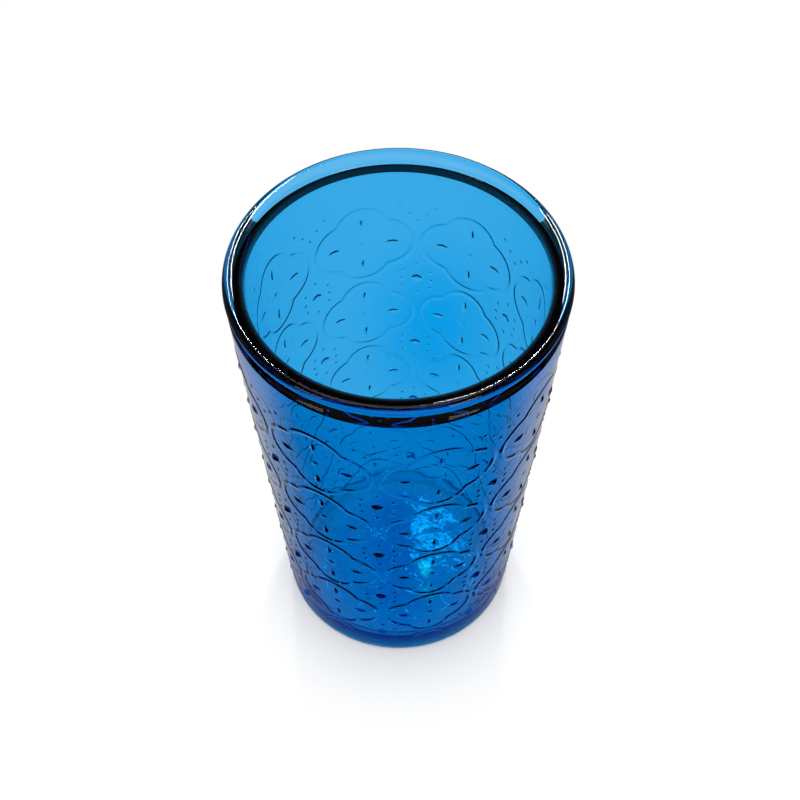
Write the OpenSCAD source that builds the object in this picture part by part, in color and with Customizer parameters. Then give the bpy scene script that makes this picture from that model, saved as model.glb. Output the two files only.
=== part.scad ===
// Pressed drinking glass: a heavy tapered tumbler with a rolled lip over a moulded groove. Its wall carries
// raised four-lobed frames in columns and rows that shrink with the taper, and leaves, bosses and dots.
// Millimetres, +Z up, origin at the centre of the foot. Angles round the glass start at -Y and go towards +X.

/* [Body] */
// Height from the table to the top of the lip
overall_h = 130; // [122:1:140]
// Outer diameter that the wall's line reaches at the height of the lip
mouth_d = 84.5; // [80:0.5:90]
// Outer diameter that the wall's line reaches at the table
foot_d = 65; // [60:0.5:70]
// Thickness of the wall, measured level
wall_t = 4.6; // [4:0.1:5]
// Thickness of the floor
floor_t = 4.8; // [4:0.1:8]
// Radius of the round where the floor meets the wall inside
floor_round = 9; // [6:0.5:11]
// Radius of the round at the outer edge of the foot
heel_round = 1.6; // [0.8:0.1:2.4]
// Depth of the shallow hollow under the foot
hollow_h = 1.2; // [0.6:0.1:2]
// Width of the flat ring that the glass stands on
foot_ring_w = 3; // [2:0.5:5]

/* [Rim] */
// Height of the rim with its groove, down from the top of the lip
rim_h = 9; // [8.5:0.5:12]
// How far the lip stands out past the wall's line at the top
lip_proud = 0.1; // [0:0.05:0.3]
// Thickness of the lip at its widest
lip_t = 5.5; // [5.2:0.1:6]
// Radius of the lip's round from its top to its outer side
lip_top_round = 1.7; // [1.4:0.1:2]
// Radius of the lip's round on the inside
lip_inner_round = 2.9; // [2.4:0.1:3.1]
// Radius of the lip's round from its outer side in to the neck
lip_under_round = 2.5; // [2.3:0.1:2.7]
// Depth of the lip's widest place below its top
lip_under_drop = 1.9; // [1.7:0.1:2.1]
// How far the neck lies inside the lip's outer side
neck_in = 1.7; // [1.2:0.1:1.9]
// Depth of the neck below the top of the lip
neck_drop = 4.2; // [4:0.1:4.3]
// Depth of the shoulder's edge below the top of the lip
shoulder_drop = 6.6; // [5.6:0.1:7.4]
// How far the shoulder stands out past the wall's line
shoulder_proud = 0.15; // [0.05:0.05:0.3]

/* [Frames] */
// Number of columns of frames round the glass
columns = 8; // [6:1:8]
// Number of whole rows of frames, above one row that the foot cuts off
rows = 4; // [3:1:4]
// Direction of the first column of frames
first_column_a = 14.7; // [0:0.1:45]
// Depth of the first row's middle below the top of the lip
first_row_drop = 31.6; // [28:0.2:34]
// Distance from the first row's middle to the second's
row_pitch = 26.3; // [25.5:0.1:27]
// Width of a frame in the first row
frame_w = 28.9; // [26:0.1:29.5]
// Height of a frame in the first row
frame_h = 24.8; // [22:0.1:25]
// Width of the raised line that draws a frame
line_w = 0.9; // [0.6:0.1:1.2]
// Height of the raised line
line_h = 0.25; // [0.15:0.05:0.5]
// Least distance from the foot at which a frame that the foot cuts off ends
frame_cut_h = 4; // [3:0.5:6]

/* [Leaves and dots] */
// Length of a leaf at a frame's side
side_leaf_l = 3.6; // [2.5:0.1:4.5]
// Width of a leaf at a frame's side
side_leaf_w = 1.5; // [0.8:0.1:2]
// Length of a leaf at a frame's top and bottom
crest_leaf_l = 3.6; // [2.5:0.1:4.5]
// Width of a leaf at a frame's top and bottom
crest_leaf_w = 1.5; // [0.8:0.1:2]
// Height of the leaves in a frame
leaf_h = 0.3; // [0.2:0.05:0.6]
// Distance from a frame's middle to its side leaves' middles
side_leaf_x = 8.55; // [7:0.05:10]
// Distance from a frame's middle to its top and bottom leaves' middles
crest_leaf_y = 7.3; // [6:0.05:8.5]
// Diameter of the round boss in a frame's middle
boss_d = 2.4; // [1.6:0.1:3]
// Height of the boss
boss_h = 0.3; // [0.2:0.05:0.6]
// Length of the thick leaf in the gap between four frames
gap_leaf_l = 3.5; // [2.5:0.1:4]
// Width of the gap leaf
gap_leaf_w = 2.6; // [1.8:0.1:3]
// Height of the gap leaf
gap_leaf_h = 0.7; // [0.4:0.05:1]
// Diameter of a dot
dot_d = 1.1; // [0.6:0.1:1.2]
// Height of a dot
dot_h = 0.25; // [0.15:0.05:0.4]
// Width between the outermost dots round a gap leaf
dot_span_w = 8.8; // [7:0.1:9.4]
// Height between the topmost and lowest dots round a gap leaf
dot_span_h = 11.4; // [10:0.1:12]
// Height of the five dots over the first row's gaps, between the topmost and the lowest
crown_h = 4.8; // [3:0.1:6]

/* [Hidden] */
// Facet count of the round solids, which are true circles
$fn = 96;
small_fn = 24;
// Overrun of the cuts
over = 1;
// A side lobe's centre, as a share of a frame's half width
lobe_centre_share = 0.38;
// A side lobe's half height, as a share of a frame's half height
lobe_height_share = 0.645;
// Radius of the top and bottom lobes, as a share of a frame's half height
crest_round_share = 0.653;
// Points along the side lobe and the top lobe in a quarter of a frame
lobe_steps = 5;
crest_steps = 4;
// Points round a leaf, and the size and height of its inner ring as shares
leaf_points = 8;
leaf_ring_share = 0.55;
leaf_ring_height_share = 0.8;
// Places of the dots, as shares of half their span, down and to the right
dot_shares = [[0, -0.93], [-0.93, -0.46], [0.93, -0.46], [-1, 0.1], [1, 0.1], [-0.93, 0.6], [0.93, 0.6], [0, 1]];
crown_shares = [[0, 1], [-0.55, 0], [0.55, 0], [-1.15, -1], [1.15, -1]];
// The crown's middle, as a share of the way from the lip to the first row's middle
crown_drop_share = 0.68;

taper_a = atan((mouth_d - foot_d) / 2 / overall_h);
base_h = floor_t + floor_round;
wall_top_h = overall_h - rim_h;
column_a = 360 / columns;

function wall_r(z) = foot_d / 2 + (mouth_d - foot_d) / 2 * z / overall_h;
function drop_r(drop) = wall_r(overall_h - drop);

// A row's size against the first row, and its middle's depth: both follow the wall's taper
function row_scale(row) = drop_r(row_drop(row)) / drop_r(first_row_drop);
function row_drop(row) = row == 0 ? first_row_drop : row_drop(row - 1) + row_pitch * row_scale(row - 1);
function gap_drop(row) = (row_drop(row) + row_drop(row + 1)) / 2;
function gap_scale(row) = drop_r(gap_drop(row)) / drop_r(first_row_drop);

// A flat point [right, down] round a place on the wall, laid on the wall and raised off it by out
function wrapped(p, a, drop, out) =
    let (turn = a + p[0] / drop_r(drop) * 180 / PI, r = drop_r(drop + p[1]) + out)
    [r * sin(turn), -r * cos(turn), overall_h - drop - p[1]];

// Reach from a frame's middle, in direction d, to the far side of a lobe with centre c and half sizes s
function lobe_reach(d, c, s) =
    let (
        e = [d[0] / s[0], d[1] / s[1]],
        f = [c[0] / s[0], c[1] / s[1]],
        b = e * f
    )
    (b + sqrt(b * b - (e * e) * (f * f - 1))) / (e * e);

half = [frame_w / 2, frame_h / 2];
side_centre = [half[0] * lobe_centre_share, 0];
side_half = [half[0] - side_centre[0], half[1] * lobe_height_share];
crest_half = [1, 1] * half[1] * crest_round_share;
crest_centre = [0, half[1] - crest_half[1]];

function side_reach(a) = lobe_reach([cos(a), sin(a)], side_centre, side_half);
function crest_reach(a) = lobe_reach([cos(a), sin(a)], crest_centre, crest_half);

// The notch lies where both lobes reach equally far, found by halving
function notch_at(low, high, steps) =
    let (mid = (low + high) / 2)
    steps == 0 ? mid
    : side_reach(mid) > crest_reach(mid) ? notch_at(mid, high, steps - 1)
    : notch_at(low, mid, steps - 1);
notch_a = notch_at(0, 90, 20);

quarter = concat(
    [for (i = [0:lobe_steps - 1]) let (a = notch_a * i / lobe_steps) side_reach(a) * [cos(a), sin(a)]],
    [for (i = [0:crest_steps - 1])
        let (a = notch_a + (90 - notch_a) * i / crest_steps) crest_reach(a) * [cos(a), sin(a)]]
);
crest_point = [0, half[1]];

// A quarter's points turned back, for the quarters that run the other way round
function turned_back(list) = [for (i = [len(list) - 1:-1:1]) list[i]];
function flipped(list, x, y) = [for (p = list) [p[0] * x, p[1] * y]];
right_half = concat(flipped(turned_back(quarter), 1, -1), quarter);
frame_line = concat([-crest_point], right_half, [crest_point], flipped(turned_back(right_half), -1, 1),
    flipped([right_half[0]], -1, 1));

// Triangles of a strip of quads between the rings of points i and j
function quad(a, b, c, d) = [[a, b, c], [a, c, d]];

// A raised line on the wall: three points at each point of its path, the outer foot, the inner foot and the ridge
module ridge(path, a, drop, closed) {
    n = len(path);
    side = [for (i = [0:n - 1])
        let (
            next = path[closed ? (i + 1) % n : min(i + 1, n - 1)],
            last = path[closed ? (i + n - 1) % n : max(i - 1, 0)],
            t = next - last
        )
        [-t[1], t[0]] / norm(t) * line_w / 2];
    points = [for (i = [0:n - 1]) each [
        wrapped(path[i] - side[i], a, drop, 0),
        wrapped(path[i] + side[i], a, drop, 0),
        wrapped(path[i], a, drop, line_h)
    ]];
    strips = [for (i = [0:(closed ? n : n - 1) - 1])
        let (p = 3 * i, q = 3 * ((i + 1) % n))
        each concat(quad(p, q, q + 2, p + 2), quad(p + 1, p + 2, q + 2, q + 1), quad(p, p + 1, q + 1, q))];
    ends = closed ? [] : [[0, 2, 1], [3 * n - 3, 3 * n - 2, 3 * n - 1]];
    polyhedron(points, concat(strips, ends));
}

// A pointed leaf on the wall, with its length turned from level by turn
module leaf(length, width, height, place, turn, a, drop) {
    n = leaf_points;
    ring = [for (i = [0:n - 1])
        let (b = 360 * i / n, x = length / 2 * cos(b), y = width / 2 * sin(b) * abs(sin(b)))
        [x * cos(turn) - y * sin(turn), x * sin(turn) + y * cos(turn)]];
    points = concat(
        [for (p = ring) wrapped(place + p, a, drop, 0)],
        [for (p = ring) wrapped(place + p * leaf_ring_share, a, drop, height * leaf_ring_height_share)],
        [wrapped(place, a, drop, height)]
    );
    slopes = [for (i = [0:n - 1])
        let (j = (i + 1) % n)
        each concat(quad(i, j, n + j, n + i), [[n + i, n + j, 2 * n]])];
    back = [for (i = [1:n - 2]) [0, i + 1, i]];
    polyhedron(points, concat(slopes, back));
}

// A low dome that stands on the wall
module dome(d, h, p, a, drop) {
    r = (d * d / 4 + h * h) / (2 * h);
    translate(wrapped(p, a, drop, 0))
        rotate([90 + taper_a, 0, a + p[0] / drop_r(drop) * 180 / PI])
        rotate_extrude($fn = small_fn)
        intersection() {
            translate([0, h - r]) circle(r);
            square([d / 2, h]);
        }
}

// Level ring of the wall's section between two heights
module wall_section(z0, z1) {
    polygon([
        [wall_r(z0) - wall_t, z0],
        [wall_r(z0), z0],
        [wall_r(z1), z1],
        [wall_r(z1) - wall_t, z1]
    ]);
}

// Area inside a sloping wall line that is inset from the outer one, with a round at its lower corner
module rounded_inside(inset, round_r, z0, z1) {
    centre = [wall_r(z0 + round_r) - inset - round_r / cos(taper_a), z0 + round_r];
    touch = centre + round_r * [cos(taper_a), -sin(taper_a)];
    translate(centre) circle(round_r);
    polygon([[0, z0], [centre[0], z0], touch, [wall_r(z1) - inset, z1], [0, z1]]);
}

module base() {
    hollow_r = foot_d / 2 - heel_round - foot_ring_w;
    hollow_round = (hollow_r * hollow_r + hollow_h * hollow_h) / (2 * hollow_h);
    color("lightskyblue") rotate_extrude()
        intersection() {
            square([mouth_d, base_h]);
            difference() {
                rounded_inside(0, heel_round, 0, base_h + over);
                rounded_inside(wall_t, floor_round, floor_t, base_h + 2 * over);
                translate([0, hollow_h - hollow_round]) circle(hollow_round, $fn = 4 * $fn);
            }
        }
}

module side_wall() {
    color("deepskyblue") rotate_extrude() wall_section(base_h, wall_top_h);
}

module rim() {
    lip_r = mouth_d / 2 + lip_proud;
    outer_x = lip_r - lip_top_round;
    inner_x = lip_r - lip_t + lip_inner_round;
    inner_z = overall_h - lip_inner_round;
    top_z = overall_h - lip_top_round;
    neck = [lip_r - neck_in, overall_h - neck_drop];
    shoulder_z = overall_h - shoulder_drop;
    color("steelblue") rotate_extrude() {
        polygon([
            [wall_r(wall_top_h) - wall_t, wall_top_h],
            [wall_r(wall_top_h), wall_top_h],
            [wall_r(shoulder_z) + shoulder_proud, shoulder_z],
            neck,
            [neck[0], top_z],
            [inner_x, top_z],
            [inner_x, inner_z],
            [wall_r(inner_z) - wall_t, inner_z]
        ]);
        translate([outer_x, top_z]) circle(lip_top_round);
        translate([inner_x, inner_z]) circle(lip_inner_round);
        translate([inner_x, inner_z]) square([outer_x - inner_x, lip_inner_round]);
        intersection() {
            translate([lip_r - lip_under_round, overall_h - lip_under_drop]) circle(lip_under_round);
            translate([inner_x, neck[1]]) square([lip_t, top_z - neck[1]]);
        }
    }
}

module frames() {
    cut_drop = overall_h - frame_cut_h;
    color("dodgerblue")
        for (row = [0:rows], column = [0:columns - 1]) {
            a = first_column_a + column * column_a;
            drop = row_drop(row);
            path = row_scale(row) * frame_line;
            kept = [for (p = path) if (p[1] < cut_drop - drop) p];
            // A frame that is cut off keeps the stretch over its middle, from its left end to its right one
            if (len(kept) == len(path)) ridge(path, a, drop, true);
            else ridge(concat([for (p = kept) if (p[0] < 0) p], [for (p = kept) if (p[0] >= 0) p]), a, drop, false);
        }
}

module frame_leaves() {
    color("cornflowerblue")
        for (row = [0:rows], column = [0:columns - 1]) {
            a = first_column_a + column * column_a;
            drop = row_drop(row);
            s = row_scale(row);
            leaf(crest_leaf_l * s, crest_leaf_w * s, leaf_h, [0, -crest_leaf_y * s], 90, a, drop);
            if (row < rows) {
                leaf(crest_leaf_l * s, crest_leaf_w * s, leaf_h, [0, crest_leaf_y * s], 90, a, drop);
                for (x = [-side_leaf_x, side_leaf_x])
                    leaf(side_leaf_l * s, side_leaf_w * s, leaf_h, [x * s, 0], 0, a, drop);
            }
        }
}

module frame_bosses() {
    color("royalblue")
        for (row = [0:rows - 1], column = [0:columns - 1])
            dome(boss_d, boss_h, [0, 0], first_column_a + column * column_a, row_drop(row));
}

module gap_leaves() {
    color("mediumblue")
        for (row = [0:rows - 1], column = [0:columns - 1])
            leaf(gap_leaf_l, gap_leaf_w, gap_leaf_h, [0, 0], 0,
                first_column_a + (column + 1 / 2) * column_a, gap_drop(row));
}

module dots() {
    dot_half = [dot_span_w, dot_span_h] / 2;
    crown_half = [dot_span_w, crown_h] / 2;
    color("aqua")
        for (column = [0:columns - 1]) {
            a = first_column_a + (column + 1 / 2) * column_a;
            for (row = [0:rows - 1], share = dot_shares)
                dome(dot_d, dot_h, gap_scale(row) * [share[0] * dot_half[0], share[1] * dot_half[1]],
                    a, gap_drop(row));
            for (share = crown_shares)
                dome(dot_d, dot_h, [share[0] * crown_half[0], share[1] * crown_half[1]],
                    a, first_row_drop * crown_drop_share);
        }
}

base();
side_wall();
rim();
frames();
frame_leaves();
frame_bosses();
gap_leaves();
dots();
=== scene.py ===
# Drinking glass: a tapered tumbler of thick blue pressed glass with a rolled lip and a raised pattern.
# Metres, +Z up, origin at the centre of the foot. Angles round the glass start at -Y and go towards +X.
import math
import bmesh
import bpy
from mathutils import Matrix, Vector


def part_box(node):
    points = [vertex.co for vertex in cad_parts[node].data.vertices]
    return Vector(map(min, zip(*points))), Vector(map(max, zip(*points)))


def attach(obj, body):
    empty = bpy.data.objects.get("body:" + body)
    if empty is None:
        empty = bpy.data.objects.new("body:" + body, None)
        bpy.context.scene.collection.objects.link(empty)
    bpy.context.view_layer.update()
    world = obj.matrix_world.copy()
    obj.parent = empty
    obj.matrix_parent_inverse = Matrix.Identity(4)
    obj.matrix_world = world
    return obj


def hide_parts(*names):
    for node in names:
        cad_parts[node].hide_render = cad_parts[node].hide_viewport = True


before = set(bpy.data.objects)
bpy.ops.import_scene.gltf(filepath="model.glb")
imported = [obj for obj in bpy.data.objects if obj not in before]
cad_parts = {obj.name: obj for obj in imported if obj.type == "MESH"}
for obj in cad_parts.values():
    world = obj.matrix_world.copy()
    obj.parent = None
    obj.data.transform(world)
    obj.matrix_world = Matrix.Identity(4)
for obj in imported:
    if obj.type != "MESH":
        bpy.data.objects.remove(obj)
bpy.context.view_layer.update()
mm = 0.001


class Socket:
    # Wraps an output of a node tree, so that shader maths reads as Python
    def __init__(self, tree, socket=None):
        self.tree = tree
        self.socket = socket

    def make(self, kind, settings=None, inputs=None, output=0):
        node = self.tree.nodes.new(kind)
        for name, value in (settings or {}).items():
            setattr(node, name, value)
        for name, value in (inputs or {}).items():
            if isinstance(value, Socket):
                self.tree.links.new(value.socket, node.inputs[name])
            else:
                node.inputs[name].default_value = value
        return Socket(self.tree, node.outputs[output] if len(node.outputs) else None)

    def maths(self, operation, first, second):
        return self.make("ShaderNodeMath", {"operation": operation}, {0: first, 1: second})

    def __add__(self, other):
        return self.maths("ADD", self, other)

    def __radd__(self, other):
        return self.maths("ADD", other, self)

    def __sub__(self, other):
        return self.maths("SUBTRACT", self, other)

    def __rsub__(self, other):
        return self.maths("SUBTRACT", other, self)

    def __mul__(self, other):
        return self.maths("MULTIPLY", self, other)

    def __rmul__(self, other):
        return self.maths("MULTIPLY", other, self)


def newMaterial(name):
    material = bpy.data.materials.new(name)
    material.use_nodes = True
    material.node_tree.nodes.clear()
    return material, Socket(material.node_tree)


def newObject(name, data):
    thing = bpy.data.objects.new(name, data)
    bpy.context.scene.collection.objects.link(thing)
    return thing


def finishedMesh(thing):
    # The object's mesh with its modifiers or its curve's bevel applied
    graph = bpy.context.evaluated_depsgraph_get()
    return bpy.data.meshes.new_from_object(thing.evaluated_get(graph))


def removeObject(thing):
    bpy.data.objects.remove(thing, do_unlink=True)


# The wall's cone goes through the top edges of two zones of the model
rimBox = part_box("rim")
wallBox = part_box("side_wall")
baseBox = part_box("base")
glassHeight = rimBox[1][2]
wallTop = Vector((wallBox[1][0], wallBox[1][2]))
wallFoot = Vector((baseBox[1][0], baseBox[1][2]))
taper = (wallTop.x - wallFoot.x) / (wallTop.y - wallFoot.y)
taperAngle = math.atan(taper)


def wallRadius(height):
    return wallTop.x + (height - wallTop.y) * taper


def dropRadius(drop):
    return wallRadius(glassHeight - drop)


body = {
    "wall": 4.6 * mm,
    "floor": 3.8 * mm,
    "floorRound": 6.5 * mm,
    "heelRound": 1.6 * mm,
    "hollow": 1.2 * mm,
    "footRing": 3 * mm,
    "wallRings": 8,
    "arcSteps": 8,
    "turnSteps": 270,
    "mergeReach": 0.002 * mm,
    "coneReach": 0.006 * mm,
    "sharpAngle": 28,
}

lip = {
    "proud": -0.06 * mm,
    "thickness": 5.15 * mm,
    "crestIn": 1.37 * mm,
    "sideDrop": 1.89 * mm,
    "innerDrop": 2.79 * mm,
    "innerEndDrop": 7.3 * mm,
    "neckIn": 1.99 * mm,
    "neckDrop": 4.18 * mm,
    "shoulderDrop": 6.7 * mm,
    "shoulderProud": -0.15 * mm,
    "shoulderHollow": 0.156 * mm,
    "edge": 0.3 * mm,
    "squareness": 0.85,
    "steps": 12,
    "edgeSteps": 4,
    "shoulderSteps": 8,
}


def arc(centre, radius, start, end, steps, squash=1):
    # Points of a round or flattened stretch of the section, between two angles in degrees
    angles = [math.radians(start + (end - start) * i / steps) for i in range(steps + 1)]
    rise = radius * squash
    return [Vector((centre[0] + radius * math.cos(a), centre[1] + rise * math.sin(a))) for a in angles]


def bend(start, pull, end, steps):
    # Points of a curve from start to end that leaves and arrives towards pull
    shares = [i / steps for i in range(steps + 1)]
    return [start.lerp(pull, t).lerp(pull.lerp(end, t), t) for t in shares]


def lipSection():
    # The rim's section from the shoulder up the outside, over the top and down the inside
    top = glassHeight
    outer = dropRadius(0) + lip["proud"]
    inner = outer - lip["thickness"]
    crest = outer - lip["crestIn"]
    edge = lip["edge"]
    low = lip["shoulderDrop"] + edge
    shoulder = Vector((dropRadius(lip["shoulderDrop"]) + lip["shoulderProud"], top - lip["shoulderDrop"]))
    neck = Vector((outer - lip["neckIn"], top - lip["neckDrop"]))
    side = Vector((outer, top - lip["sideDrop"]))
    hollow = (shoulder + neck) / 2 - Vector((lip["shoulderHollow"], 0))
    foot = Vector((dropRadius(low), top - low))
    points = bend(foot, shoulder - Vector((0, edge / 5)), shoulder, lip["edgeSteps"])
    points += bend(shoulder, hollow, neck, lip["shoulderSteps"])[1:]
    shares = [i / lip["steps"] for i in range(1, lip["steps"] + 1)]
    for share in shares:
        out = math.sin(share * math.pi / 2)
        points.append(Vector((neck.x + (side.x - neck.x) * out, neck.y + (side.y - neck.y) * share)))
    for share in shares:
        turn = share * math.pi / 2
        out, rise = math.cos(turn) ** (1 / lip["squareness"]), math.sin(turn) ** (1 / lip["squareness"])
        points.append(Vector((crest + (outer - crest) * out, side.y + lip["sideDrop"] * rise)))
    innerHeight = top - lip["innerDrop"]
    squash = lip["innerDrop"] / (crest - inner)
    points += arc((crest, innerHeight), crest - inner, 90, 180, lip["steps"], squash)[1:]
    end = Vector((dropRadius(lip["innerEndDrop"]) - body["wall"], top - lip["innerEndDrop"]))
    for share in shares:
        wave = 0.5 - 0.5 * math.cos(math.pi * share)
        points.append(Vector((inner + (end.x - inner) * wave, innerHeight + (end.y - innerHeight) * share)))
    return points


def bodySection():
    # The whole section, from the middle of the hollow under the foot to the middle of the floor inside
    cosTaper = math.cos(taperAngle)
    heelR = body["heelRound"]
    heel = (wallRadius(heelR) - heelR / cosTaper, heelR)
    hollowR = heel[0] - body["footRing"] + heelR
    hollowRound = (hollowR ** 2 + body["hollow"] ** 2) / (2 * body["hollow"])
    hollowAngle = math.degrees(math.asin(hollowR / hollowRound))
    points = arc((0, body["hollow"] - hollowRound), hollowRound, 90, 90 - hollowAngle, body["arcSteps"])
    points += arc(heel, heelR, -90, -math.degrees(taperAngle), body["arcSteps"])
    low = points[-1].y
    high = glassHeight - lip["shoulderDrop"] - 2 * lip["edge"]
    for i in range(1, body["wallRings"] + 1):
        height = low + (high - low) * i / body["wallRings"]
        points.append(Vector((wallRadius(height), height)))
    points += lipSection()
    cornerRadius = body["floorRound"]
    centreHeight = body["floor"] + cornerRadius
    centre = (wallRadius(centreHeight) - body["wall"] - cornerRadius / cosTaper, centreHeight)
    corner = arc(centre, cornerRadius, -math.degrees(taperAngle), -90, body["arcSteps"] * 2)
    low = corner[0].y
    high = points[-1].y
    for i in range(1, body["wallRings"]):
        height = high + (low - high) * i / body["wallRings"]
        points.append(Vector((wallRadius(height) - body["wall"], height)))
    points += corner
    points.append(Vector((centre[0] / 2, body["floor"])))
    points.append(Vector((0, body["floor"])))
    return points


def makeBody():
    shape = bmesh.new()
    section = bodySection()
    corners = [shape.verts.new((point.x, 0, point.y)) for point in section]
    edges = [shape.edges.new(pair) for pair in zip(corners, corners[1:])]
    bmesh.ops.spin(shape, geom=corners + edges, cent=(0, 0, 0), axis=(0, 0, 1), angle=2 * math.pi,
                   steps=body["turnSteps"], use_merge=True, use_duplicate=False)
    bmesh.ops.remove_doubles(shape, verts=shape.verts, dist=body["mergeReach"])
    bmesh.ops.recalc_face_normals(shape, faces=shape.faces)
    mesh = bpy.data.meshes.new("glass")
    shape.to_mesh(mesh)
    shape.free()
    return newObject("glass", mesh)


pattern = {
    "columns": 8,
    "rows": 4,
    "firstColumn": 14.7,
    "firstDrop": 31.6 * mm,
    "rowPitch": 26.3 * mm,
    "halfWidth": 14.45 * mm,
    "halfHeight": 12.4 * mm,
    "lineWidth": 2.2 * mm,
    "lineHeight": 0.18 * mm,
    "lineSides": 8,
    "sunk": 0.01 * mm,
    "root": 0.3 * mm,
    "cutHeight": 3.5 * mm,
    "sideLobe": ((0.38, 0), (0.62, 0.645)),
    "crestLobe": ((0, 0.347), (0.653, 0.653)),
    "lobeSteps": 9,
    "crestSteps": 7,
    "halvings": 30,
}

leaves = {
    "side": (5.2 * mm, 2.5 * mm, 0.42 * mm),
    "sidePlace": 8.55 * mm,
    "crest": (5.2 * mm, 2.5 * mm, 0.42 * mm),
    "crestPlace": 7.3 * mm,
    "gap": (4.2 * mm, 3.4 * mm, 0.8 * mm),
    "boss": (3 * mm, 2.6 * mm, 0.15 * mm),
    "dot": (1.7 * mm, 1.7 * mm, 0.17 * mm),
    "dotSpan": Vector((4.4 * mm, 5.7 * mm)),
    "crownSpan": Vector((4.4 * mm, 2.4 * mm)),
    "crownDropShare": 0.68,
    "point": 0.8,
    "ballSides": (14, 12),
    "dotSides": (10, 8),
    "dotPlaces": (
        (0, -0.93), (-0.93, -0.46), (0.93, -0.46), (-1, 0.1), (1, 0.1), (-0.93, 0.6), (0.93, 0.6), (0, 1)),
    "crownPlaces": ((0, 1), (-0.55, 0), (0.55, 0), (-1.15, -1), (1.15, -1)),
}


def rowDrop(row):
    if row == 0:
        return pattern["firstDrop"]
    return rowDrop(row - 1) + pattern["rowPitch"] * rowScale(row - 1)


def rowScale(row):
    return dropRadius(rowDrop(row)) / dropRadius(pattern["firstDrop"])


def onWall(x, y, angle, drop, out):
    # A flat point, right and down from a place on the wall, laid on the wall and raised off it
    turn = math.radians(angle) + x / dropRadius(drop)
    radius = dropRadius(drop + y) + out
    return Vector((radius * math.sin(turn), -radius * math.cos(turn), glassHeight - drop - y))


def lobeReach(angle, centre, size):
    # Reach from a frame's middle to the far side of a lobe
    e = Vector((math.cos(angle) / size[0], math.sin(angle) / size[1]))
    f = Vector((centre[0] / size[0], centre[1] / size[1]))
    b = e.dot(f)
    return (b + math.sqrt(b * b - e.dot(e) * (f.dot(f) - 1))) / e.dot(e)


def frameOutline():
    # The four-lobed line of the first row, point by point from its right end downwards
    w, h = pattern["halfWidth"], pattern["halfHeight"]
    side = [(x * w, y * h) for x, y in pattern["sideLobe"]]
    crest = [(x * h, y * h) for x, y in pattern["crestLobe"]]
    low, high = 0, math.pi / 2
    for step in range(pattern["halvings"]):
        middle = (low + high) / 2
        if lobeReach(middle, *side) > lobeReach(middle, *crest):
            low = middle
        else:
            high = middle
    lobeSteps, crestSteps = pattern["lobeSteps"], pattern["crestSteps"]
    angles = [low * i / lobeSteps for i in range(lobeSteps)]
    angles += [low + (math.pi / 2 - low) * i / crestSteps for i in range(crestSteps + 1)]
    quarter = []
    for a in angles:
        reach = max(lobeReach(a, *side), lobeReach(a, *crest))
        quarter.append(Vector((reach * math.cos(a), reach * math.sin(a))))
    back = [Vector((-p.x, p.y)) for p in reversed(quarter[:-1])]
    lower = quarter + back
    upper = [Vector((p.x, -p.y)) for p in reversed(lower[1:-1])]
    return lower + upper


def flatLine(points, closed):
    # A raised line's mesh while it is still flat: a path swept by a soft ridge with its foot below the wall
    half, high, sunk = pattern["lineWidth"] / 2, pattern["lineHeight"], pattern["sunk"]
    across = [-half + 2 * half * i / pattern["lineSides"] for i in range(pattern["lineSides"] + 1)]
    section = [(x, (high + sunk) * (0.5 + 0.5 * math.cos(math.pi * x / half)) - sunk) for x in across]
    section += [(half, -pattern["root"]), (-half, -pattern["root"])]
    profile = polyLine("profile", section, True)
    path = polyLine("path", points, closed)
    path.data.bevel_mode = "OBJECT"
    path.data.bevel_object = profile
    mesh = finishedMesh(path)
    removeObject(path)
    removeObject(profile)
    return mesh


def polyLine(name, points, closed):
    curve = bpy.data.curves.new(name, "CURVE")
    curve.dimensions = "2D"
    curve.fill_mode = "NONE"
    spline = curve.splines.new("POLY")
    spline.points.add(len(points) - 1)
    for place, p in zip(spline.points, points):
        place.co = (p[0], p[1], 0, 1)
    spline.use_cyclic_u = closed
    return newObject(name, curve)


def makeLines():
    shape = bmesh.new()
    outline = frameOutline()
    for row in range(pattern["rows"] + 1):
        drop, scale = rowDrop(row), rowScale(row)
        points = [p * scale for p in outline]
        kept = [p for p in points if drop + p.y < glassHeight - pattern["cutHeight"]]
        closed = len(kept) == len(points)
        if not closed:
            kept.sort(key=lambda p: p.x)
        flat = flatLine(kept, closed)
        for column in range(pattern["columns"]):
            angle = pattern["firstColumn"] + column * 360 / pattern["columns"]
            first = len(shape.verts)
            shape.from_mesh(flat)
            shape.verts.ensure_lookup_table()
            for vert in shape.verts[first:]:
                vert.co = onWall(vert.co.x, vert.co.y, angle, drop, vert.co.z)
    bmesh.ops.remove_doubles(shape, verts=shape.verts, dist=0.001 * mm)
    bmesh.ops.holes_fill(shape, edges=[edge for edge in shape.edges if edge.is_boundary], sides=0)
    bmesh.ops.recalc_face_normals(shape, faces=shape.faces)
    mesh = bpy.data.meshes.new("lines")
    shape.to_mesh(mesh)
    shape.free()
    return mesh


def ballMesh(segments, rings):
    shape = bmesh.new()
    bmesh.ops.create_uvsphere(shape, u_segments=segments, v_segments=rings, radius=1)
    mesh = bpy.data.meshes.new("ball")
    shape.to_mesh(mesh)
    shape.free()
    return mesh


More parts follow.
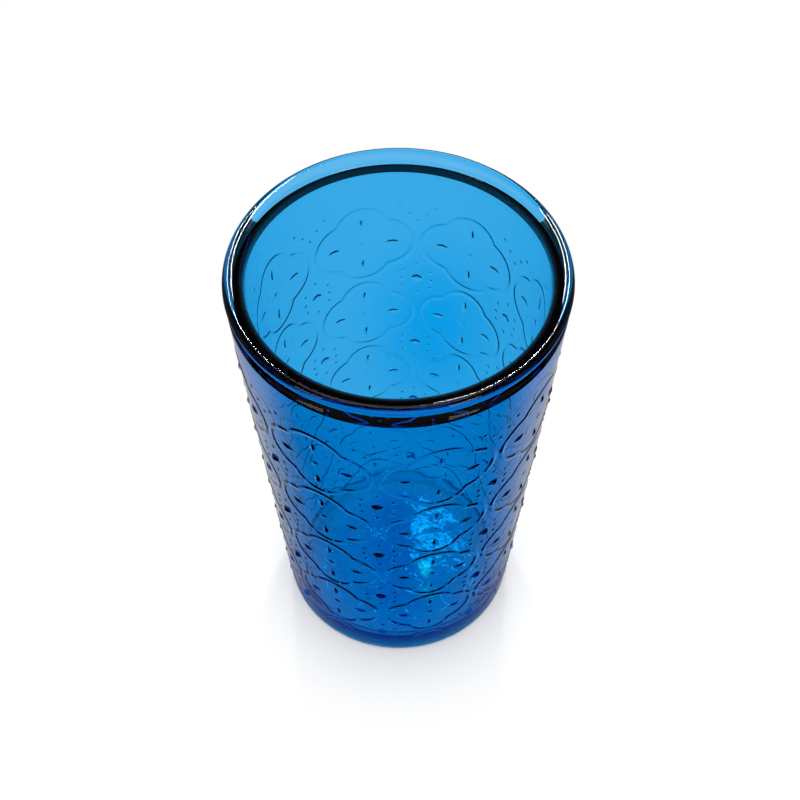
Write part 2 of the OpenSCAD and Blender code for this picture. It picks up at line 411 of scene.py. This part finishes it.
def addBump(shape, ball, size, place, turn, angle, drop, pointed=False):
    # A leaf, boss or dot: a ball pressed to a soft mound, with its foot below the wall
    first = len(shape.verts)
    shape.from_mesh(ball)
    shape.verts.ensure_lookup_table()
    c, s = math.cos(math.radians(turn)), math.sin(math.radians(turn))
    sunk = pattern["sunk"]
    for vert in shape.verts[first:]:
        x, y, z = vert.co
        reach = min(1, math.hypot(x, y))
        out = (size[2] + sunk) * (0.5 + 0.5 * math.cos(math.pi * reach)) - sunk
        if z < -0.01:  # the ball's lower half becomes the root
            out = -pattern["root"]
        if pointed:
            y *= abs(y) ** leaves["point"]
        flatX, flatY = x * size[0] / 2, y * size[1] / 2
        right = place[0] + flatX * c - flatY * s
        down = place[1] + flatX * s + flatY * c
        vert.co = onWall(right, down, angle, drop, out)


def makeBumps():
    shape = bmesh.new()
    ball = ballMesh(*leaves["ballSides"])
    dot = ballMesh(*leaves["dotSides"])
    for column in range(pattern["columns"]):
        angle = pattern["firstColumn"] + column * 360 / pattern["columns"]
        gapAngle = angle + 180 / pattern["columns"]
        for row in range(pattern["rows"] + 1):
            drop, scale = rowDrop(row), rowScale(row)
            crest = [side * scale for side in leaves["crest"]]
            addBump(shape, ball, crest, (0, -leaves["crestPlace"] * scale), 90, angle, drop, True)
            if row == pattern["rows"]:
                continue
            addBump(shape, ball, crest, (0, leaves["crestPlace"] * scale), 90, angle, drop, True)
            side = [length * scale for length in leaves["side"]]
            for right in (-leaves["sidePlace"] * scale, leaves["sidePlace"] * scale):
                addBump(shape, ball, side, (right, 0), 0, angle, drop, True)
            addBump(shape, ball, leaves["boss"], (0, 0), 0, angle, drop)
            gapDrop = (drop + rowDrop(row + 1)) / 2
            gapScale = dropRadius(gapDrop) / dropRadius(pattern["firstDrop"])
            addBump(shape, ball, leaves["gap"], (0, 0), 0, gapAngle, gapDrop, True)
            for share in leaves["dotPlaces"]:
                place = Vector(share) * leaves["dotSpan"] * gapScale
                addBump(shape, dot, leaves["dot"], place, 0, gapAngle, gapDrop)
        for share in leaves["crownPlaces"]:
            place = Vector(share) * leaves["crownSpan"]
            crownDrop = pattern["firstDrop"] * leaves["crownDropShare"]
            addBump(shape, dot, leaves["dot"], place, 0, gapAngle, crownDrop)
    bmesh.ops.reverse_faces(shape, faces=shape.faces)  # laying them on the wall mirrors them
    mesh = bpy.data.meshes.new("bumps")
    shape.to_mesh(mesh)
    shape.free()
    return mesh


def joinPattern(glass, meshes):
    # The pattern and the body become one skin, so that light passes from one into the other
    for mesh in meshes:
        tool = newObject("tool", mesh)
        union = glass.modifiers.new("pattern", "BOOLEAN")
        union.operation = "UNION"
        union.solver = "MANIFOLD"
        union.object = tool
        glass.data = finishedMesh(glass)
        glass.modifiers.clear()
        removeObject(tool)


def smoothWall(glass):
    # The cone between the pattern's pieces keeps true cone normals at every corner
    mesh = glass.data
    mesh.shade_smooth()
    mesh.set_sharp_from_angle(angle=math.radians(body["sharpAngle"]))
    outward = {}
    for vert in mesh.vertices:
        reach = math.hypot(vert.co.x, vert.co.y)
        if abs(reach - wallRadius(vert.co.z)) < body["coneReach"]:
            outward[vert.index] = Vector((vert.co.x / reach, vert.co.y / reach, -taper)).normalized()
    normals = [Vector((0, 0, 0))] * len(mesh.loops)
    for face in mesh.polygons:
        if all(index in outward for index in face.vertices):
            for loop in face.loop_indices:
                normals[loop] = outward[mesh.loops[loop].vertex_index]
    mesh.normals_split_custom_set(normals)


glassLook = {
    "tint": (0, 0.82, 0.933, 1),
    "density": 600,
    "ior": 1.5,
    "stippleTop": 1.25 * mm,
    "stippleEdge": 0.15 * mm,
    "stippleRoughness": 0.55,
    "stippleScale": 900,
    "stippleDepth": 0.12 * mm,
    "waveScale": 110,
    "waveDepth": 0.05 * mm,
}


def blueGlass():
    material, tree = newMaterial("blueGlass")
    place = tree.make("ShaderNodeTexCoord", output=3)
    height = tree.make("ShaderNodeSeparateXYZ", None, {0: place}, 2)
    # The underside is stippled by the mould, and the rest is fire-polished
    foot = tree.make("ShaderNodeMapRange", None, {
        "Value": height, "From Min": glassLook["stippleTop"] + glassLook["stippleEdge"],
        "From Max": glassLook["stippleTop"]})
    grain = tree.make("ShaderNodeTexNoise", None, {
        "Vector": place, "Scale": glassLook["stippleScale"], "Detail": 1})
    waves = tree.make("ShaderNodeTexNoise", None, {
        "Vector": place, "Scale": glassLook["waveScale"], "Detail": 1})
    ripple = tree.make("ShaderNodeBump", None, {
        "Height": waves, "Strength": 1, "Distance": glassLook["waveDepth"]})
    stipple = tree.make("ShaderNodeBump", None, {
        "Height": grain * foot, "Strength": 1, "Distance": glassLook["stippleDepth"], "Normal": ripple})
    surface = tree.make("ShaderNodeBsdfPrincipled", None, {
        "Base Color": (1, 1, 1, 1),
        "Roughness": foot * glassLook["stippleRoughness"],
        "IOR": glassLook["ior"],
        "Transmission Weight": 1,
        "Normal": stipple,
    })
    depth = tree.make("ShaderNodeVolumeAbsorption", None, {
        "Color": glassLook["tint"],
        "Density": glassLook["density"],
    })
    tree.make("ShaderNodeOutputMaterial", None, {"Surface": surface, "Volume": depth})
    return material


def makeGlass():
    glass = makeBody()
    joinPattern(glass, [makeLines(), makeBumps()])
    smoothWall(glass)
    glass.data.materials.clear()
    glass.data.materials.append(blueGlass())
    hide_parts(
        "base", "side_wall", "rim", "frames", "frame_leaves", "frame_bosses", "gap_leaves", "dots")
    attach(glass, "root")
    print("glass:", len(glass.data.polygons), "faces")


floor = {
    "size": 6,
    "colour": (1, 1, 1, 1),
    "seenShare": 0.1,
    "shadeNear": 0.034,
    "shadeFar": 0.066,
    # Painted light: the floor seen only through the glass takes a blue tint, and grows darker with distance
    "through": (0.92, 0.72, 1, 1),
    "fadeStart": 0.2,
    "fadeEnd": 0.5,
    "farShare": 0.5,
    # Painted reflection: the floor's brightness seen only in the glass's reflections, dark in front and pale
    # behind
    "gleam": 0.6,
    "gleamStart": -0.045,
    "gleamEnd": 0.02,
    "gleamNear": 0.07,
    "gleamFar": 0.17,
    "gleamFarShare": 0.15,
    # Painted caustic light on the floor under the glass, seen only through it
    "paintedCaustic": (0.3, 1.6, 1.5, 1),
    "paintedCausticMiddle": Vector((0.008, 0, 0)),
    "paintedCausticReach": Vector((0.004, 0.024, 1)),
    "paintedCausticScale": 270,
    "paintedCausticTwist": 1.2,
    "paintedCausticHold": 0.5,
    "paintedCausticEdge": 0.55,
    "paintedCausticStart": 0.6,
    "paintedCausticFull": 0.85,
}

# Painted tints that the floor shows only through the glass, for the shade and light that such a glass
# throws under it. Their places and colours are matched to the photograph and aren't worked out from light
shades = {
    "behind": {
        "middle": Vector((0.013, 0.092, 0)), "reach": Vector((0.04, 0.055, 1)), "edge": 1,
        "tint": (0.01, 0.6, 1, 1)},
    "under": {
        "middle": Vector((0, 0, 0)), "reach": Vector((0.036, 0.036, 1)), "edge": 0.5,
        "tint": (0.1, 0.42, 0.85, 1)},
    "middle": {
        "middle": Vector((-0.001, 0.002, 0)), "reach": Vector((0.014, 0.036, 1)), "edge": 0.8,
        "tint": (0.05, 0.28, 0.78, 1)},
    "left": {
        "middle": Vector((-0.068, 0.012, 0)), "reach": Vector((0.034, 0.055, 1)), "edge": 0.8,
        "tint": (0.3, 0.64, 0.75, 1)},
    "right": {
        "middle": Vector((0.07, 0.025, 0)), "reach": Vector((0.03, 0.05, 1)), "edge": 1,
        "tint": (0.45, 0.66, 0.85, 1)},
}


def smooth(tree, value, low, high, atLow=0, atHigh=1):
    # A soft step of a value from one level to another
    return tree.make("ShaderNodeMapRange", {"interpolation_type": "SMOOTHSTEP"}, {
        "Value": value, "From Min": low, "From Max": high, "To Min": atLow, "To Max": atHigh})


def ovalReach(tree, place, middle, reach):
    # 0 in the middle of an oval on the floor and 1 on its edge
    away = tree.make("ShaderNodeVectorMath", {"operation": "SUBTRACT"}, {0: place, 1: middle})
    away = tree.make("ShaderNodeVectorMath", {"operation": "DIVIDE"}, {0: away, 1: reach})
    return tree.make("ShaderNodeVectorMath", {"operation": "LENGTH"}, {0: away}, 1)


def blendColour(tree, share, first, second):
    return tree.make("ShaderNodeMix", {"data_type": "RGBA"}, {0: share, 6: first, 7: second}, 2)


def floorThrough(tree, place, away):
    # The floor as seen through the glass: the painted shade tints, painted caustic light patches, and a
    # painted fall of light with distance
    tint = floor["through"]
    for shade in shades.values():
        inside = 1 - ovalReach(tree, place, shade["middle"], shade["reach"])
        tint = blendColour(tree, smooth(tree, inside, 0, shade["edge"]), tint, shade["tint"])
    # Painted caustic light: bright cyan patches in a narrow strip under the glass, seen only through it
    edge = floor["paintedCausticEdge"] - ovalReach(tree, place, floor["paintedCausticMiddle"], floor["paintedCausticReach"])
    causticMask = tree.make("ShaderNodeTexNoise", None, {
        "Vector": place, "Scale": floor["paintedCausticScale"], "Detail": 1, "Distortion": floor["paintedCausticTwist"]})
    causticMask = causticMask + edge * floor["paintedCausticHold"]
    causticMask = smooth(tree, causticMask, floor["paintedCausticStart"], floor["paintedCausticFull"])
    tint = blendColour(tree, causticMask, tint, floor["paintedCaustic"])
    # Painted shade: the floor seen through the glass darkens with distance
    fade = smooth(tree, away, floor["fadeStart"], floor["fadeEnd"], 1, floor["farShare"])
    return tree.make("ShaderNodeVectorMath", {"operation": "SCALE"}, {0: tint, "Scale": fade})


def floorGleam(tree, place, away):
    # The floor as the glass mirrors it, a painted reflection: dark in front, pale behind and near the foot,
    # to keep the lip dark
    depth = tree.make("ShaderNodeSeparateXYZ", None, {0: place}, 1)
    rise = smooth(tree, depth, floor["gleamStart"], floor["gleamEnd"], 0, floor["gleam"])
    return rise * smooth(tree, away, floor["gleamNear"], floor["gleamFar"], 1, floor["gleamFarShare"])


def makeFloor():
    shape = bmesh.new()
    bmesh.ops.create_grid(shape, x_segments=1, y_segments=1, size=floor["size"] / 2)
    mesh = bpy.data.meshes.new("floor")
    shape.to_mesh(mesh)
    shape.free()
    thing = newObject("floor", mesh)
    material, tree = newMaterial("paleFloor")
    seen = tree.make("ShaderNodeLightPath", output=0)
    mirrored = tree.make("ShaderNodeLightPath", output=5)
    through = tree.make("ShaderNodeLightPath", output=6)
    place = tree.make("ShaderNodeTexCoord", output=3)
    away = tree.make("ShaderNodeVectorMath", {"operation": "LENGTH"}, {0: place}, 1)
    plain = tree.make("ShaderNodeBsdfDiffuse", None, {"Color": floor["colour"]})
    white = tree.make("ShaderNodeEmission", None, {"Color": floor["colour"], "Strength": 1})
    shaded = tree.make("ShaderNodeEmission", None, {"Color": floorThrough(tree, place, away), "Strength": 1})
    gleam = tree.make("ShaderNodeEmission", None, {"Color": floorGleam(tree, place, away), "Strength": 1})
    clear = smooth(tree, away, floor["shadeNear"], floor["shadeFar"], floor["seenShare"])
    # Emission goes over the diffuse floor only away from the glass, so its shadow stays
    surface = tree.make("ShaderNodeMixShader", None, {0: seen * clear, 1: plain, 2: white})
    surface = tree.make("ShaderNodeMixShader", None, {0: mirrored, 1: surface, 2: gleam})
    surface = tree.make("ShaderNodeMixShader", None, {0: through, 1: surface, 2: shaded})
    tree.make("ShaderNodeOutputMaterial", None, {"Surface": surface})
    mesh.materials.append(material)
    print("floor laid")


sky = {
    "light": 0.93,
    "lowGleam": 0.12,
    "highGleam": 0.02,
    "gleamTop": 0.45,
    "through": (0.46, 0.36, 0.5, 1),
}


def makeWorld():
    world = bpy.data.worlds.new("studio")
    bpy.context.scene.world = world
    world.use_nodes = True
    world.node_tree.nodes.clear()
    tree = Socket(world.node_tree)
    seen = tree.make("ShaderNodeLightPath", output=0)
    diffuse = tree.make("ShaderNodeLightPath", output=2)
    through = tree.make("ShaderNodeLightPath", output=6)
    direction = tree.make("ShaderNodeTexCoord")
    height = tree.make("ShaderNodeSeparateXYZ", None, {0: direction}, 2)
    fall = smooth(tree, height, 0, sky["gleamTop"], sky["lowGleam"], sky["highGleam"])
    white = tree.make("ShaderNodeBackground", None, {"Color": (1, 1, 1, 1), "Strength": 1})
    soft = tree.make("ShaderNodeBackground", None, {"Color": (1, 1, 1, 1), "Strength": sky["light"]})
    gleam = tree.make("ShaderNodeBackground", None, {"Color": fall, "Strength": 1})
    pale = tree.make("ShaderNodeBackground", None, {"Color": sky["through"], "Strength": 1})
    surface = tree.make("ShaderNodeMixShader", None, {0: through, 1: gleam, 2: pale})
    surface = tree.make("ShaderNodeMixShader", None, {0: seen, 1: surface, 2: white})
    surface = tree.make("ShaderNodeMixShader", None, {0: diffuse, 1: surface, 2: soft})
    tree.make("ShaderNodeOutputWorld", None, {"Surface": surface})


lamps = {
    "top": {
        "place": Vector((0, 0, 1.2)), "aim": Vector((0, 0, 0)),
        "size": (1.4, 1.4), "watts": 5.5},
    "backLeft": {
        "place": Vector((-0.177, 0.77, 1.03)), "aim": Vector((0, 0, 0.13)),
        "size": (0.06, 0.24), "watts": 1.8},
    "backRight": {
        "place": Vector((0.177, 0.77, 1.03)), "aim": Vector((0, 0, 0.13)),
        "size": (0.06, 0.24), "watts": 1.8},
    "nearRight": {
        "place": Vector((0.085, 0.655, 1.03)), "aim": Vector((0, 0, 0.13)),
        "size": (0.12, 0.05), "watts": 0.9},
    "frontRight": {
        "place": Vector((0.65, -0.9, 0.4)), "aim": Vector((0, 0, 0.06)),
        "size": (0.35, 0.35), "watts": 0.6},
    "frontLeft": {
        "place": Vector((-0.8, -0.7, 0.35)), "aim": Vector((0, 0, 0.06)),
        "size": (0.3, 0.35), "watts": 0.4},
}


def makeLamps():
    for name, facts in lamps.items():
        data = bpy.data.lights.new(name, "AREA")
        data.shape = "RECTANGLE"
        data.size, data.size_y = facts["size"]
        data.energy = facts["watts"]
        thing = newObject(name, data)
        thing.location = facts["place"]
        thing.rotation_euler = (facts["aim"] - facts["place"]).to_track_quat("-Z", "Y").to_euler()


camera = {
    "place": Vector((0.4 * mm, -250.1 * mm, 411.4 * mm)),
    "tilt": 36.88,
    "lens": 70.84,
    "sensor": 36,
}


def makeCamera():
    data = bpy.data.cameras.new("camera")
    data.lens = camera["lens"]
    data.sensor_width = camera["sensor"]
    thing = newObject("camera", data)
    thing.location = camera["place"]
    thing.rotation_euler = (math.radians(camera["tilt"]), 0, 0)
    bpy.context.scene.camera = thing


makeCamera()
makeGlass()
makeFloor()
makeWorld()
makeLamps()
bpy.context.scene.view_settings.view_transform = "Standard"
print("camera, sky and lamps placed")
